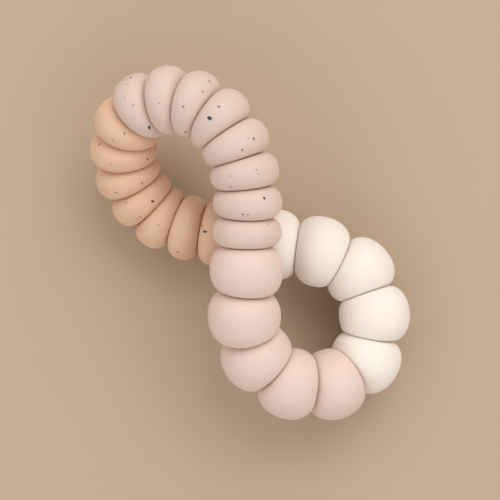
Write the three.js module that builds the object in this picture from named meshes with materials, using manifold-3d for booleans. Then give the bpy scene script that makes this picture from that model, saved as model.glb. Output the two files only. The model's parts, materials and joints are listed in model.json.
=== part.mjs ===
// Teething ring: soft silicone beads threaded tight on one tied cord, the loop twisted once into an eight.
// Millimetres, +Z up, +X along the eight. The base of the lowest bead stands on z = 0.

import * as THREE from "three";
import Module from "manifold-3d";
import { mergeVertices } from "three/addons/utils/BufferGeometryUtils.js";

// Driving dimensions
const DISC_RADIUS = 7;
const DISC_PITCH = 6;
const BARREL_RADIUS = 7.5;
const BARREL_PITCH = 10;
const CORD_RADIUS = 0.75;
const BORE_RADIUS = 1.4;
const KNOT_RADIUS = 1.55;

// Clearances between touching pieces
const BEAD_GAP = 0.3;
const KNOT_POCKET_RADIUS = KNOT_RADIUS + 0.4;
const CORD_END_GAP = 0.5;
const LEAST_RIM = 0.8;

// Fineness of the round surfaces
const BEAD_SIDES = 20;
const RIM_STEPS = 3;
const CORD_SIDES = 6;
const CORD_STEP = 2.8;

// The cord's route round the eight: over strand at the crossing, plain lobe, under strand, speckled lobe.
const ROUTE = [
  [-1, 0, 21.5],
  [8.5, -9, 19.5],
  [12, -13, 16.5],
  [27.5, -12.5, 13],
  [33, -5.5, 11],
  [34.5, -3, 8],
  [32, 7.5, 8.5],
  [23, 13, 8],
  [13, 14.5, 7.5],
  [7.5, 7.5, 8.5],
  [-1, 3, 6.5],
  [-7.5, -3, 8],
  [-18, -9.5, 7],
  [-30.5, -8, 10.5],
  [-37, 1, 17.5],
  [-32.5, 9.5, 22],
  [-22.5, 13, 24.5],
  [-12, 9.5, 24],
];

// Bead kinds, and the order in which the cord passes through them
const DISC = { radius: DISC_RADIUS, pitch: DISC_PITCH, corner: 2.2 };
const BARREL = { radius: BARREL_RADIUS, pitch: BARREL_PITCH, corner: 3.4 };
const RUNS = [
  { name: "pink_bead", kind: BARREL, first: 1, last: 5, finish: "pink_silicone" },
  { name: "cream_bead", kind: BARREL, first: 5, last: 1, finish: "cream_silicone" },
  { name: "peach_speckled_disc", kind: DISC, first: 8, last: 1, finish: "peach_speckled" },
  { name: "pink_speckled_disc", kind: DISC, first: 1, last: 8, finish: "pink_speckled" },
];
const KNOT_BEAD = "peach_speckled_disc_8";

const FINISHES = {
  pink_silicone: new THREE.MeshStandardMaterial({ color: 0xe8d0c4, roughness: 0.62 }),
  cream_silicone: new THREE.MeshStandardMaterial({ color: 0xf3ebdf, roughness: 0.62 }),
  peach_speckled: new THREE.MeshStandardMaterial({ color: 0xe3bc9e, roughness: 0.62 }),
  pink_speckled: new THREE.MeshStandardMaterial({ color: 0xe7cdc1, roughness: 0.62 }),
  cord: new THREE.MeshStandardMaterial({ color: 0xe9dfd0, roughness: 0.85 }),
};

const wasm = await Module();
wasm.setup();

function toSolid(geometry) {
  const bare = geometry.index ? geometry.toNonIndexed() : geometry.clone();
  bare.deleteAttribute("normal");
  bare.deleteAttribute("uv");
  const welded = mergeVertices(bare, 1e-4);
  const mesh = new wasm.Mesh({
    numProp: 3,
    vertProperties: new Float32Array(welded.attributes.position.array),
    triVerts: new Uint32Array(welded.index.array),
  });
  return new wasm.Manifold(mesh);
}

function toGeometry(solid) {
  const mesh = solid.getMesh();
  const geometry = new THREE.BufferGeometry();
  geometry.setAttribute("position", new THREE.BufferAttribute(new Float32Array(mesh.vertProperties), 3));
  geometry.setIndex(new THREE.BufferAttribute(new Uint32Array(mesh.triVerts), 1));
  const faceted = geometry.toNonIndexed();
  faceted.computeVertexNormals();
  return faceted;
}

// The closed route, scaled so that its length is exactly the beads' pitches added up
function routeOf(length) {
  const points = ROUTE.map((p) => new THREE.Vector3(...p));
  const drawn = new THREE.CatmullRomCurve3(points, true, "centripetal");
  drawn.arcLengthDivisions = 3000;
  const scale = length / drawn.getLength();
  const scaledPoints = points.map((p) => p.clone().multiplyScalar(scale));
  const scaled = new THREE.CatmullRomCurve3(scaledPoints, true, "centripetal");
  scaled.arcLengthDivisions = 3000;
  return scaled;
}

// Every bead in threading order, with the stretch of cord that it covers
function beadList() {
  let along = 0;
  const beads = [];
  for (const run of RUNS) {
    const count = Math.abs(run.last - run.first) + 1;
    for (let i = 0; i < count; i += 1) {
      const number = run.first + i * Math.sign(run.last - run.first);
      beads.push({
        name: `${run.name}_${number}`,
        kind: run.kind,
        finish: run.finish,
        from: along,
        middle: along + run.kind.pitch / 2,
      });
      along += run.kind.pitch;
    }
  }
  return { beads, length: along };
}

// A bead is round about the cord. Its faces lean back by half the bend on each side, so it can turn freely.
function beadProfile(kind, { faceA, faceB, leanA, leanB }) {
  const profile = [new THREE.Vector2(BORE_RADIUS, faceA + BORE_RADIUS * leanA)];
  const rimA = Math.min(faceA + kind.radius * leanA, -LEAST_RIM);
  const rimB = Math.max(faceB - kind.radius * leanB, LEAST_RIM);
  const corner = Math.min(kind.corner, (rimB - rimA) / 2);
  const cornerStart = kind.radius - corner;
  for (let i = 0; i <= RIM_STEPS; i += 1) {
    const turn = (i / RIM_STEPS) * (Math.PI / 2);
    const radius = cornerStart + corner * Math.sin(turn);
    const leanBack = faceA + cornerStart * leanA;
    const x = leanBack + (rimA + corner - leanBack) * (1 - Math.cos(turn));
    profile.push(new THREE.Vector2(radius, x));
  }
  for (let i = RIM_STEPS; i >= 0; i -= 1) {
    const turn = (i / RIM_STEPS) * (Math.PI / 2);
    const radius = cornerStart + corner * Math.sin(turn);
    const leanBack = faceB - cornerStart * leanB;
    const x = leanBack + (rimB - corner - leanBack) * (1 - Math.cos(turn));
    profile.push(new THREE.Vector2(radius, x));
  }
  profile.push(new THREE.Vector2(BORE_RADIUS, faceB - BORE_RADIUS * leanB));
  profile.push(profile[0].clone());
  return profile.filter((p, i) => i === 0 || p.distanceTo(profile[i - 1]) > 0.02);
}

// Where a bead sits: its middle, its axis, and how far its two faces reach along that axis
function placeBead(route, length, bead) {
  const pointAt = (s) => route.getPointAt((((s % length) + length) % length) / length);
  const tangentAt = (s) => route.getTangentAt((((s % length) + length) % length) / length);
  const start = pointAt(bead.from);
  const end = pointAt(bead.from + bead.kind.pitch);
  // The bore is straight and the cord bends through it, so the bead sits halfway from the chord to the cord
  const middle = start.clone().lerp(end, 0.5).lerp(pointAt(bead.middle), 0.5);
  const axis = end.clone().sub(start).normalize();
  const faceA = start.sub(middle).dot(axis) + BEAD_GAP / 2;
  const faceB = end.sub(middle).dot(axis) - BEAD_GAP / 2;
  const leanOf = (s) => Math.tan(axis.angleTo(tangentAt(s)));
  const leanA = leanOf(bead.from);
  const leanB = leanOf(bead.from + bead.kind.pitch);
  return { middle, axis, faceA, faceB, leanA, leanB };
}

function beadGeometry(route, length, bead) {
  const place = placeBead(route, length, bead);
  const lathe = new THREE.LatheGeometry(beadProfile(bead.kind, place), BEAD_SIDES);
  let solid = toSolid(lathe);
  if (bead.name === KNOT_BEAD) {
    // A wide drum round the ball knot in the middle of the bore
    const reach = KNOT_POCKET_RADIUS;
    const pocket = new THREE.CylinderGeometry(reach, reach, 2 * reach, CORD_SIDES * 2);
    solid = solid.subtract(toSolid(pocket));
  }
  const geometry = toGeometry(solid);
  const turn = new THREE.Quaternion().setFromUnitVectors(new THREE.Vector3(0, 1, 0), place.axis);
  geometry.applyQuaternion(turn);
  geometry.translate(place.middle.x, place.middle.y, place.middle.z);
  return geometry;
}

// One cord: a tube round the whole route, its two ends tied in a knot inside the knot bead
function cordGeometry(route, length, knotAt) {
  const steps = Math.round(length / CORD_STEP);
  const points = [];
  for (let i = 0; i <= steps; i += 1) {
    const along = knotAt + CORD_END_GAP + (i / steps) * (length - 2 * CORD_END_GAP);
    points.push(route.getPointAt((along % length) / length));
  }
  const path = new THREE.CatmullRomCurve3(points, false, "centripetal");
  const ring = new THREE.Shape();
  for (let i = 0; i < CORD_SIDES; i += 1) {
    const angle = (i / CORD_SIDES) * 2 * Math.PI;
    const corner = [CORD_RADIUS * Math.cos(angle), CORD_RADIUS * Math.sin(angle)];
    if (i === 0) {
      ring.moveTo(...corner);
    } else {
      ring.lineTo(...corner);
    }
  }
  ring.closePath();
  const tube = new THREE.ExtrudeGeometry(ring, { steps, extrudePath: path, bevelEnabled: false });
  const knot = new THREE.IcosahedronGeometry(KNOT_RADIUS, 1);
  const centre = route.getPointAt(knotAt / length);
  knot.translate(centre.x, centre.y, centre.z);
  return toGeometry(toSolid(tube).add(toSolid(knot)));
}

function meshOf(name, geometry, finish) {
  const mesh = new THREE.Mesh(geometry, FINISHES[finish]);
  mesh.name = name;
  return mesh;
}

function teethingRing() {
  const { beads, length } = beadList();
  const route = routeOf(length);
  const group = new THREE.Group();
  group.name = "teething_ring";
  for (const bead of beads) {
    group.add(meshOf(bead.name, beadGeometry(route, length, bead), bead.finish));
  }
  const knotBead = beads.find((bead) => bead.name === KNOT_BEAD);
  group.add(meshOf("threading_cord", cordGeometry(route, length, knotBead.middle), "cord"));

  // The part stands on z = 0, centred about the z axis
  const box = new THREE.Box3().setFromObject(group);
  const centre = box.getCenter(new THREE.Vector3());
  for (const mesh of group.children) {
    mesh.geometry.translate(-centre.x, -centre.y, -box.min.z);
  }
  return group;
}

export default teethingRing();
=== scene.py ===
"""Looks of the beaded teething ring: wedge-pressed silicone beads, speckles, the cord and a plain set."""

import json
import math
import random

import bmesh
import bpy
import numpy as np
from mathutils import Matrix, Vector

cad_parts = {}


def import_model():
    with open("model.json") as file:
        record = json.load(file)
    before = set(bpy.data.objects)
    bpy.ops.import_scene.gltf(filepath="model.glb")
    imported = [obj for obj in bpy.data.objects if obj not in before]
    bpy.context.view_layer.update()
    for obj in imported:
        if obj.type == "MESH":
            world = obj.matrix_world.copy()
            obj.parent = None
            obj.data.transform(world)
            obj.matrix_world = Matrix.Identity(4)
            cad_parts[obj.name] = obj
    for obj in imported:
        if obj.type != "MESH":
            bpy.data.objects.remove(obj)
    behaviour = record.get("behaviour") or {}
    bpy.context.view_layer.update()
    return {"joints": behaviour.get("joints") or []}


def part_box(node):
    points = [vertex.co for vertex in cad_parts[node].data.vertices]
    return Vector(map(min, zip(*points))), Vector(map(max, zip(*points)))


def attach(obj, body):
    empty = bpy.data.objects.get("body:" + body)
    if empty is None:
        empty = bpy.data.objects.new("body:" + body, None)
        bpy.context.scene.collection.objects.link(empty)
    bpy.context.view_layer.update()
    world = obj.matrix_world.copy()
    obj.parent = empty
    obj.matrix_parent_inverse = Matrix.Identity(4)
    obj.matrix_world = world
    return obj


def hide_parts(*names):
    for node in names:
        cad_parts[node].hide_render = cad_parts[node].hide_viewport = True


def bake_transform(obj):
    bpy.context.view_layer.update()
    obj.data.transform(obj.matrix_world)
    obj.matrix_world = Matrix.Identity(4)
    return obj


CAD_ROOT = "cord_loop"
KNOT_BEAD = "peach_speckled_disc_8"

MM = 0.001

# Bead kinds. rim is the full radius; groove is how deep the rim turns in at a straight seam;
# a higher roundness keeps the rim full for longer before it turns in.
DISC = {"rim": 7.0 * MM, "groove": 2.5 * MM, "pitch": 6.0 * MM, "roundness": 2.1}
BARREL = {"rim": 7.5 * MM, "groove": 3.1 * MM, "pitch": 10.0 * MM, "roundness": 2.15}

# How much the groove can change with the bend, as shares of the groove at a straight seam
LEAST_GROOVE = 0.5
MOST_GROOVE = 1.25

# The gap between neighbours, and the radii of the bore and the cord
SEAM = 0.03 * MM
BORE = 1.35 * MM
CORD = 0.75 * MM

# Threading order round the loop: (piece name, kind, silicone)
RUNS = (
    ("pink_bead", BARREL, "pink_silicone", range(1, 6)),
    ("cream_bead", BARREL, "cream_silicone", range(5, 0, -1)),
    ("peach_speckled_disc", DISC, "peach_speckled", range(8, 0, -1)),
    ("pink_speckled_disc", DISC, "pink_speckled", range(1, 9)),
)

# Fineness of the bead and cord meshes. The face rings are shares of the way from the bore to the skin.
AROUND = 64
ALONG = 28
FACE_RINGS = (0.9, 0.5)
BORE_SHARES = (1.0, 0.5, 0.0, -0.5, -1.0)
CORD_SIDES = 10
CORD_STEPS = 360
KNOT_STEPS = 60

# Knot pocket inside the knot bead (radius, share of the half length), and the knot's own cord
POCKET = 1.95 * MM
POCKET_SHARE = 0.62
KNOT_CORD = 0.5 * MM
KNOT_SPREAD = 0.34 * MM

# Speckles that show from above: (mm along the cord, degrees round from the top, width in mm, tint).
# Positive degrees are on the right-hand side when going along the cord.
SPECKLES = {
    "peach_speckled_disc_7": ((1.7, -1, 0.85, "navy"), (2.4, 10, 0.4, "brown")),
    "peach_speckled_disc_6": ((0.1, -52, 0.5, "brown"), (-0.9, 31, 0.3, "faint")),
    "peach_speckled_disc_5": ((-0.4, -14, 0.45, "faint"), (1.2, -33, 0.3, "faint")),
    "peach_speckled_disc_4": (
        (-0.8, 13, 0.7, "navy"),
        (-1.9, -24, 0.4, "brown"),
        (-1.7, -31, 0.35, "brown"),
        (2.2, -29, 0.45, "faint"),
    ),
    "peach_speckled_disc_3": ((-0.7, 20, 0.65, "brown"), (-0.6, -29, 0.45, "brown")),
    "peach_speckled_disc_2": (
        (0.3, 51, 0.6, "navy"),
        (0.0, -16, 0.4, "faint"),
        (2.3, -50, 0.4, "brown"),
    ),
    "peach_speckled_disc_1": ((1.9, 13, 0.5, "brown"), (-0.6, -6, 0.5, "faint")),
    "pink_speckled_disc_1": (
        (1.2, -62, 0.5, "navy"),
        (0.6, -60, 0.45, "brown"),
        (1.0, -43, 0.4, "faint"),
        (1.4, 0, 0.45, "faint"),
        (0.5, -20, 0.35, "faint"),
        (2.0, 52, 0.9, "navy"),
    ),
    "pink_speckled_disc_2": ((-1.5, -35, 0.4, "brown"), (1.0, 13, 0.4, "faint")),
    "pink_speckled_disc_3": (
        (1.6, -51, 0.45, "brown"),
        (1.9, -23, 0.4, "brown"),
        (0.3, 15, 0.5, "brown"),
        (2.0, 66, 0.6, "navy"),
    ),
    "pink_speckled_disc_4": ((-0.25, 11, 0.9, "navy"), (-0.45, -13, 0.5, "brown")),
    "pink_speckled_disc_5": (
        (0.5, -31, 0.5, "navy"),
        (1.5, -6, 0.5, "brown"),
        (0.1, -22, 0.35, "faint"),
    ),
    "pink_speckled_disc_6": (
        (-0.6, -20, 0.5, "faint"),
        (0.2, -22, 0.4, "faint"),
        (-0.4, 24, 0.4, "faint"),
        (1.9, 29, 0.4, "brown"),
    ),
    "pink_speckled_disc_7": (
        (-1.4, -30, 0.6, "navy"),
        (1.4, 8, 0.55, "brown"),
        (1.5, 0, 0.5, "faint"),
    ),
    "pink_speckled_disc_8": ((-2.3, -44, 0.45, "faint"),),
}

# Speckles scattered over each disc's underside: how many, how far along the cord either way (mm),
# degrees round from the top, and width (mm)
HIDDEN_SPECKLES = 5
HIDDEN_ALONG = 1.1
HIDDEN_ROUND = (85, 275)
HIDDEN_WIDTH = (0.3, 0.65)

# A speckle's outline, how far its middle stands proud, and how near it comes to the seam
SPECKLE_CORNERS = 9
SPECKLE_DOME = 0.035 * MM
SPECKLE_LIMIT = 0.97
SPECKLE_STRETCH = (0.8, 1.25)
SPECKLE_RAGGED = (0.7, 1.2)
SPECKLE_SEED = 26

# Camera: straight above, turned so that the eight lies as it was photographed
CAMERA_HEIGHT = 0.300
CAMERA_TURN = math.radians(48)
CAMERA_LENS = 99.1
CAMERA_SENSOR = 36
CAMERA_NEAR = 0.01
VIEW_CENTRE = (0.00108, -0.00003)

# Light. The key lamp's place is in metres to the right, up the picture and above the table.
DOME_COLOUR = (1.0, 0.97, 0.93)
DOME_STRENGTH = 1.5
# (sine of the height above the horizon, brightness)
DOME_BANDS = ((0.30, 0.35), (0.55, 1.0), (0.75, 1.0), (0.92, 0.12))
KEY_PLACE = (0.28, 0.64, 0.70)
KEY_SIZE = 0.75
KEY_POWER = 3.0
KEY_COLOUR = (1.0, 0.975, 0.94)

# The set
FLOOR_SIZE = 4
FLOOR_COLOUR = (0.50, 0.385, 0.28)
FLOOR_ROUGHNESS = 0.9

# Silicones: the fuller tone, the shaded tone, and how much light passes under the skin
SILICONES = {
    "pink_silicone": ((0.79, 0.63, 0.565), (0.77, 0.61, 0.545), 0.1),
    "cream_silicone": ((0.90, 0.84, 0.78), (0.89, 0.82, 0.755), 0.04),
    "pink_speckled": ((0.735, 0.58, 0.515), (0.715, 0.56, 0.495), 0.08),
    "peach_speckled": ((0.785, 0.53, 0.375), (0.765, 0.51, 0.355), 0.1),
}
SILICONE_ROUGHNESS = 0.55
SILICONE_SPECULAR = 0.35
GLOW_COLOUR = (1.0, 0.45, 0.25)
GLOW_DEPTH = 1.4 * MM

# Speckle tints: the two tones that each drifts between
TINTS = {
    "navy": ((0.045, 0.055, 0.085), (0.07, 0.07, 0.07)),
    "brown": ((0.20, 0.12, 0.085), (0.27, 0.18, 0.13)),
    "faint": ((0.45, 0.36, 0.29), (0.38, 0.36, 0.29)),
}
PIGMENT_ROUGHNESS = 0.6
BRAID_TONES = ((0.62, 0.55, 0.45), (0.80, 0.74, 0.64))
BRAID_ROUGHNESS = 0.85

# Texture scales and details, and each bump's strength and depth
CLOUD_SCALE = 130
CLOUD_DETAIL = 2
CLOUD_RANGE = (0.3, 0.7)
PIGMENT_SCALE = 2200
BRAID_SCALE = 900
GRAIN_SCALE = 2600
GRAIN_DETAIL = 3
GRAIN_BUMP = (0.12, 0.04 * MM)
PLAIT_SCALE = 1700
PLAIT_BUMP = (0.6, 0.1 * MM)


# ---------- the centreline through the beads ----------


class Centreline:
    """A smooth closed curve through the bead middles, measured by its own length."""

    def __init__(self, points):
        points = np.array(points, float)
        n = len(points)
        step = np.linalg.norm(np.roll(points, -1, axis=0) - points, axis=1)
        self.knots = np.concatenate([[0.0], np.cumsum(step)])
        before = np.roll(step, 1)
        system = np.zeros((n, n))
        right = np.zeros((n, 3))
        for i in range(n):
            system[i, i - 1] += before[i]
            system[i, i] += 2 * (before[i] + step[i])
            system[i, (i + 1) % n] += step[i]
            ahead = (points[(i + 1) % n] - points[i]) / step[i]
            behind = (points[i] - points[i - 1]) / before[i]
            right[i] = 6 * (ahead - behind)
        self.points = points
        self.bend = np.linalg.solve(system, right)
        self.step = step

    def at(self, along):
        """(position, unit direction) at a knot length along the closed curve."""
        total = self.knots[-1]
        along = along % total
        i = int(np.searchsorted(self.knots, along, side="right") - 1)
        i = min(i, len(self.step) - 1)
        j = (i + 1) % len(self.step)
        h = self.step[i]
        a = (self.knots[i + 1] - along) / h
        b = 1 - a
        p, q = self.points[i], self.points[j]
        m, k = self.bend[i], self.bend[j]
        place = a * p + b * q + ((a**3 - a) * m + (b**3 - b) * k) * h * h / 6
        slope = (q - p) / h + ((1 - 3 * a * a) * m + (3 * b * b - 1) * k) * h / 6
        return place, slope / np.linalg.norm(slope)


def across(direction):
    """Two unit vectors square to a direction, the first as near upright as it can be."""
    upright = np.array([0.0, 0.0, 1.0])
    first = upright - direction * float(upright @ direction)
    first /= np.linalg.norm(first)
    return first, np.cross(direction, first)


# ---------- beads ----------


def bead_list(frame):
    """Every bead in threading order with its middle, which is on its joint's axis."""
    middles = {j["child"][: -len("_turns")]: j["pos_m"] for j in frame["joints"]}
    low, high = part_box(KNOT_BEAD)
    middles[KNOT_BEAD] = (low + high) / 2
    beads = []
    for stem, kind, slot, numbers in RUNS:
        for number in numbers:
            name = f"{stem}_{number}"
            body = CAD_ROOT if name == KNOT_BEAD else f"{name}_turns"
            bead = {"name": name, "kind": kind, "slot": slot, "middle": middles[name], "body": body}
            beads.append(bead)
    return beads


def set_stretches(beads, line):
    """Where each bead starts and ends along the centreline: neighbours share the gap by their pitches."""
    count = len(beads)
    for i, bead in enumerate(beads):
        ahead = beads[(i + 1) % count]["kind"]["pitch"]
        behind = beads[i - 1]["kind"]["pitch"]
        own = bead["kind"]["pitch"]
        at = line.knots[i]
        bead["start"] = at - line.step[i - 1] * own / (own + behind)
        bead["end"] = at + line.step[i] * own / (own + ahead)
        bead["middle_along"] = (bead["start"] + bead["end"]) / 2
    for i, bead in enumerate(beads):
        bend = seam_bend(line, line.knots[i], line.knots[i] + line.step[i])
        bead["seam_after"] = bend
        beads[(i + 1) % count]["seam_before"] = bend


def half_length(bead):
    """Half of a bead's length along the cord, less its share of the seams."""
    return (bead["end"] - bead["start"]) / 2 - SEAM / 2


def seam_bend(line, from_middle, to_middle):
    """How the cord turns between two bead middles, per metre of it, pointing to the outside of the bend."""
    turn = line.at(to_middle)[1] - line.at(from_middle)[1]
    return -turn / (to_middle - from_middle)


def groove_depth(bead, share, out):
    """The rim turns in deeper outside a bend, where a seam is stretched open, than inside it."""
    bend = bead["seam_after"] if share > 0 else bead["seam_before"]
    stretch = 1 + bead["kind"]["rim"] * float(bend @ out)
    return bead["kind"]["groove"] * min(max(stretch, LEAST_GROOVE), MOST_GROOVE)


def skin_radius(bead, share, out):
    """Radius at a share from -1 to 1 of the bead's half length, in the direction out."""
    kind = bead["kind"]
    fall = max(0.0, 1 - abs(share) ** kind["roundness"])
    return kind["rim"] - groove_depth(bead, share, out) * (1 - math.sqrt(fall))


def on_table(point):
    """The lowest soft beads flatten a little where they rest on the table, z = 0."""
    point[2] = max(point[2], 0.0)
    return point


def skin_point(line, bead, share, angle, lift=0.0):
    """A point on a bead's skin, or lifted off it."""
    place, direction = line.at(bead["middle_along"] + share * half_length(bead))
    first, second = across(direction)
    out = first * math.cos(angle) + second * math.sin(angle)
    return on_table(place + out * (skin_radius(bead, share, out) + lift))


def shares():
    """Stations along a bead, from -1 to 1 of its half length, closer together near the seams."""
    turns = np.linspace(-math.pi / 2, math.pi / 2, ALONG + 1)
    return np.sin(turns)


def bore_rings(bead):
    """(share, radius) down the bore from the far face. The knot bead's bore widens round the knot."""
    if bead["name"] != KNOT_BEAD:
        return [(share, BORE) for share in BORE_SHARES]
    far_half = [(1.0, BORE), (POCKET_SHARE, BORE), (POCKET_SHARE, POCKET)]
    near_half = [(-share, radius) for share, radius in reversed(far_half)]
    return far_half + near_half


def bead_mesh(line, bead):
    """A bead bent along the cord: skin, far face, bore and near face, as one closed tube of rings."""
    half = half_length(bead)
    # (share of the half length, fixed radius or None, how far out from the bore to the skin if not fixed)
    profile = [(share, None, 1.0) for share in shares()]
    profile += [(1.0, None, reach) for reach in FACE_RINGS]
    profile += [(share, radius, 0.0) for share, radius in bore_rings(bead)]
    profile += [(-1.0, None, reach) for reach in reversed(FACE_RINGS)]
    points = []
    for share, fixed, reach in profile:
        place, direction = line.at(bead["middle_along"] + share * half)
        first, second = across(direction)
        for k in range(AROUND):
            angle = 2 * math.pi * k / AROUND
            out = first * math.cos(angle) + second * math.sin(angle)
            radius = fixed if fixed else BORE + (skin_radius(bead, share, out) - BORE) * reach
            points.append(on_table(place + out * radius))
    return ring_mesh(bead["name"], points, AROUND)


def ring_mesh(name, points, sides):
    """Quads between neighbouring rings of points, the last ring joined to the first."""
    count = len(points) // sides
    faces = []
    for i in range(count):
        j = (i + 1) % count
        for k in range(sides):
            m = (k + 1) % sides
            faces.append((i * sides + k, i * sides + m, j * sides + m, j * sides + k))
    mesh = bpy.data.meshes.new(name)
    mesh.from_pydata([tuple(p) for p in points], [], faces)
    mesh.update()
    return mesh


def link_mesh(name, mesh, materials):
    obj = bpy.data.objects.new(name, mesh)
    bpy.context.scene.collection.objects.link(obj)
    for material in materials:
        mesh.materials.append(material)
    return obj


def make_bead(line, bead, material):
    obj = link_mesh(bead["name"] + "_skin", bead_mesh(line, bead), [material])
    fix_normals(obj)
    return obj


# ---------- speckles ----------


def speckles_of(bead, rng):
    """The speckles seen from above, and a few more scattered over the underside."""
    rows = list(SPECKLES.get(bead["name"], ()))
    for _ in range(HIDDEN_SPECKLES):
        along = rng.uniform(-HIDDEN_ALONG, HIDDEN_ALONG)
        degrees = rng.uniform(*HIDDEN_ROUND)
        width = rng.uniform(*HIDDEN_WIDTH)
        rows.append((along, degrees, width, rng.choice(("navy", "brown", "faint"))))
    return rows


def make_speckles(line, bead, tints, rng):
    """Thin irregular flecks of pigment lying in the disc's skin, as one mesh."""
    half = half_length(bead)
    names = list(tints)
    points, faces, finish = [], [], []
    for along, degrees, width, tint in speckles_of(bead, rng):
        turn = math.radians(degrees)
        stretch = rng.uniform(*SPECKLE_STRETCH)
        start = len(points)
        points.append(skin_point(line, bead, along * MM / half, turn, SPECKLE_DOME))
        for k in range(SPECKLE_CORNERS):
            angle = 2 * math.pi * k / SPECKLE_CORNERS
            reach = width / 2 * MM * rng.uniform(*SPECKLE_RAGGED)
            share = (along * MM + reach * math.cos(angle) * stretch) / half
            share = min(max(share, -SPECKLE_LIMIT), SPECKLE_LIMIT)
            round_to = turn + reach * math.sin(angle) / stretch / bead["kind"]["rim"]
            points.append(skin_point(line, bead, share, round_to))
        for k in range(SPECKLE_CORNERS):
            m = (k + 1) % SPECKLE_CORNERS
            faces.append((start, start + 1 + k, start + 1 + m))
            finish.append(names.index(tint))
    mesh = bpy.data.meshes.new(bead["name"] + "_speckles")
    mesh.from_pydata([tuple(p) for p in points], [], faces)
    obj = link_mesh(bead["name"] + "_speckles", mesh, tints.values())
    mesh.polygons.foreach_set("material_index", finish)
    mesh.update()
    face_outward(obj, line, bead)
    obj.data.shade_smooth()
    return obj


def face_outward(obj, line, bead):
    """Turn each fleck's faces to look away from the cord."""
    centre = Vector(line.at(bead["middle_along"])[0])
    for polygon in obj.data.polygons:
        if polygon.normal.dot(polygon.center - centre) < 0:
            polygon.flip()
    obj.data.update()


# ---------- the cord ----------


def tube_points(places, directions, radius):
    """A ring of points square to the direction at each place."""
    points = []
    for place, direction in zip(places, directions):
        first, second = across(direction)
        for k in range(CORD_SIDES):
            angle = 2 * math.pi * k / CORD_SIDES
            points.append(place + radius * (first * math.cos(angle) + second * math.sin(angle)))
    return points


def make_tube(name, places, directions, radius, material):
    points = tube_points(places, directions, radius)
    tube = link_mesh(name, ring_mesh(name, points, CORD_SIDES), [material])
    fix_normals(tube)
    return tube


def make_braid(line, material):
    """The braided cord round the whole loop."""
    total = line.knots[-1]
    stations = [line.at(total * i / CORD_STEPS) for i in range(CORD_STEPS)]
    places = [place for place, _ in stations]
    directions = [direction for _, direction in stations]
    return make_tube("threading_cord_braid", places, directions, CORD, material)


def make_knot(line, knot_bead, material):
    """The trefoil knot in which the cord's two ends meet, inside the knot bead."""
    centre, direction = line.at(knot_bead["middle_along"])
    first, second = across(direction)
    loops = []
    for i in range(KNOT_STEPS):
        t = 2 * math.pi * i / KNOT_STEPS
        loops.append(
            centre
            + first * KNOT_SPREAD * (math.sin(t) + 2 * math.sin(2 * t))
            + second * KNOT_SPREAD * (math.cos(t) - 2 * math.cos(2 * t))
            - direction * 2 * KNOT_SPREAD * math.sin(3 * t)
        )
    ways = [loops[(i + 1) % KNOT_STEPS] - loops[i - 1] for i in range(KNOT_STEPS)]
    ways = [way / np.linalg.norm(way) for way in ways]
    return make_tube("threading_cord_knot", loops, ways, KNOT_CORD, material)


def fix_normals(obj):
    """Faces look outward and shade smoothly."""
    bm = bmesh.new()
    bm.from_mesh(obj.data)
    bmesh.ops.recalc_face_normals(bm, faces=bm.faces)
    bm.to_mesh(obj.data)
    bm.free()
    obj.data.shade_smooth()


# ---------- set ----------


def pale_floor():
    bpy.ops.mesh.primitive_plane_add(size=FLOOR_SIZE, location=(0, 0, 0))
    floor = bpy.context.object
    floor.name = "floor"
    material = bpy.data.materials.new("floor")
    material.use_nodes = True
    shader = material.node_tree.nodes["Principled BSDF"]
    shader.inputs["Base Color"].default_value = (*FLOOR_COLOUR, 1)
    shader.inputs["Roughness"].default_value = FLOOR_ROUGHNESS
    floor.data.materials.append(material)


def key_lamp():
    """One large soft lamp, up and to the right in the picture, aimed at the middle of the part."""
    to_right, to_top, height = KEY_PLACE
    right = Vector((math.cos(CAMERA_TURN), math.sin(CAMERA_TURN), 0))
    top = Vector((-math.sin(CAMERA_TURN), math.cos(CAMERA_TURN), 0))
    place = to_right * right + to_top * top + Vector((0, 0, height))
    data = bpy.data.lights.new("key", "AREA")
    data.shape = "DISK"
    data.size = KEY_SIZE
    data.energy = KEY_POWER
    data.color = KEY_COLOUR
    lamp = bpy.data.objects.new("key", data)
    bpy.context.scene.collection.objects.link(lamp)
    lamp.location = place
    lamp.rotation_euler = (-place).to_track_quat("-Z", "Y").to_euler()


def soft_dome():
    """Soft light all round, dimmer near the horizon, and overhead where the camera would keep it off."""
    world = bpy.data.worlds.new("studio")
    bpy.context.scene.world = world
    world.use_nodes = True
    nodes = world.node_tree.nodes
    links = world.node_tree.links
    direction = nodes.new("ShaderNodeTexCoord")
    split = nodes.new("ShaderNodeSeparateXYZ")
    ramp = nodes.new("ShaderNodeValToRGB")
    while len(ramp.color_ramp.elements) < len(DOME_BANDS):
        ramp.color_ramp.elements.new(0.5)
    for element, (height, brightness) in zip(ramp.color_ramp.elements, DOME_BANDS):
        element.position = height
        element.color = (*[c * brightness for c in DOME_COLOUR], 1)
    background = nodes["Background"]
    background.inputs["Strength"].default_value = DOME_STRENGTH
    links.new(direction.outputs["Generated"], split.inputs["Vector"])
    links.new(split.outputs["Z"], ramp.inputs["Fac"])
    links.new(ramp.outputs["Color"], background.inputs["Color"])


def camera():
    data = bpy.data.cameras.new("camera")
    data.lens = CAMERA_LENS
    data.sensor_width = CAMERA_SENSOR
    data.clip_start = CAMERA_NEAR
    obj = bpy.data.objects.new("camera", data)
    bpy.context.scene.collection.objects.link(obj)
    obj.location = (*VIEW_CENTRE, CAMERA_HEIGHT)
    obj.rotation_euler = (0, 0, CAMERA_TURN)
    bpy.context.scene.camera = obj


def true_colours():
    """The colours are chosen for the Standard view, which shows them as they are."""
    bpy.context.scene.view_settings.view_transform = "Standard"


# ---------- materials ----------


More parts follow.
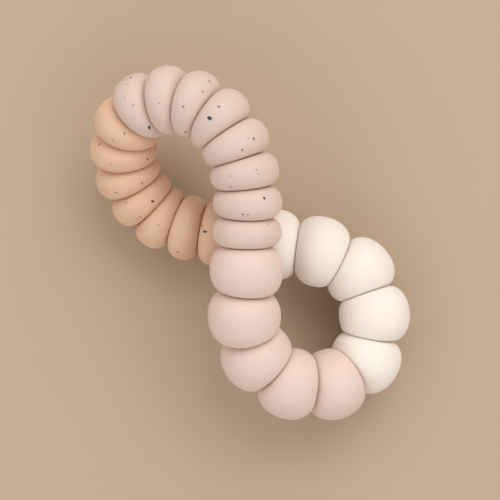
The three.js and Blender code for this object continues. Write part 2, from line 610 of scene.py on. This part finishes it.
def mottled(name, low, high, scale):
    """A material whose colour drifts between two near tones. Gives (material, shader)."""
    material = bpy.data.materials.new(name)
    material.use_nodes = True
    nodes = material.node_tree.nodes
    links = material.node_tree.links
    shader = nodes["Principled BSDF"]
    place = nodes.new("ShaderNodeTexCoord")
    cloud = nodes.new("ShaderNodeTexNoise")
    cloud.inputs["Scale"].default_value = scale
    cloud.inputs["Detail"].default_value = CLOUD_DETAIL
    ramp = nodes.new("ShaderNodeValToRGB")
    for element, position, tone in zip(ramp.color_ramp.elements, CLOUD_RANGE, (low, high)):
        element.position = position
        element.color = (*tone, 1)
    links.new(place.outputs["Object"], cloud.inputs["Vector"])
    links.new(cloud.outputs["Fac"], ramp.inputs["Fac"])
    links.new(ramp.outputs["Color"], shader.inputs["Base Color"])
    return material, shader


def add_bump(material, shader, texture, output, strength, depth):
    """Roughen the surface by a texture, laid out in the object's own space."""
    nodes = material.node_tree.nodes
    links = material.node_tree.links
    place = nodes.new("ShaderNodeTexCoord")
    bump = nodes.new("ShaderNodeBump")
    bump.inputs["Strength"].default_value = strength
    bump.inputs["Distance"].default_value = depth
    links.new(place.outputs["Object"], texture.inputs["Vector"])
    links.new(texture.outputs[output], bump.inputs["Height"])
    links.new(bump.outputs["Normal"], shader.inputs["Normal"])


def silicone(name, colour, shade, glow):
    """Soft matt silicone: faint cloudy tint, velvety grain, and a little light passing under the skin."""
    material, shader = mottled(name, shade, colour, CLOUD_SCALE)
    grain = material.node_tree.nodes.new("ShaderNodeTexNoise")
    grain.inputs["Scale"].default_value = GRAIN_SCALE
    grain.inputs["Detail"].default_value = GRAIN_DETAIL
    add_bump(material, shader, grain, "Fac", *GRAIN_BUMP)
    shader.inputs["Roughness"].default_value = SILICONE_ROUGHNESS
    shader.inputs["Specular IOR Level"].default_value = SILICONE_SPECULAR
    shader.inputs["Subsurface Weight"].default_value = glow
    shader.inputs["Subsurface Radius"].default_value = GLOW_COLOUR
    shader.inputs["Subsurface Scale"].default_value = GLOW_DEPTH
    return material


def pigment(name, tones):
    """Mottled matt flecks, between two near tones."""
    material, shader = mottled(name, *tones, PIGMENT_SCALE)
    shader.inputs["Roughness"].default_value = PIGMENT_ROUGHNESS
    return material


def cotton_braid():
    """Pale waxed cotton, knobbly with plaits."""
    material, shader = mottled("cord", *BRAID_TONES, BRAID_SCALE)
    plaits = material.node_tree.nodes.new("ShaderNodeTexVoronoi")
    plaits.inputs["Scale"].default_value = PLAIT_SCALE
    add_bump(material, shader, plaits, "Distance", *PLAIT_BUMP)
    shader.inputs["Roughness"].default_value = BRAID_ROUGHNESS
    return material


# ---------- the whole ring ----------


def set_skin_moving(skin, line, bead):
    """A soft bead turns inside its own squeezed shape, so the shape stays where its neighbours press it.

    The knot bead's skin is attached to the cord; every other skin is baked in place and attached to no
    body.
    """
    if bead["body"] == CAD_ROOT:
        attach(skin, CAD_ROOT)
        return
    place, direction = line.at(bead["middle_along"])
    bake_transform(skin)


def add_beads(line, beads):
    skins = {name: silicone(name, *look) for name, look in SILICONES.items()}
    tints = {name: pigment(f"{name}_speckle", tones) for name, tones in TINTS.items()}
    rng = random.Random(SPECKLE_SEED)
    for bead in beads:
        skin = make_bead(line, bead, skins[bead["slot"]])
        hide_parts(bead["name"])
        set_skin_moving(skin, line, bead)
        if bead["kind"] is DISC:
            speckles = make_speckles(line, bead, tints, rng)
            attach(speckles, bead["body"])


def add_cord(line, beads):
    knot_bead = next(bead for bead in beads if bead["name"] == KNOT_BEAD)
    cotton = cotton_braid()
    braid = make_braid(line, cotton)
    knot = make_knot(line, knot_bead, cotton)
    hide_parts("threading_cord")
    for piece in (braid, knot):
        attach(piece, CAD_ROOT)


def main():
    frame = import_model()
    beads = bead_list(frame)
    line = Centreline([bead["middle"] for bead in beads])
    set_stretches(beads, line)
    add_beads(line, beads)
    add_cord(line, beads)
    pale_floor()
    soft_dome()
    key_lamp()
    camera()
    true_colours()


main()
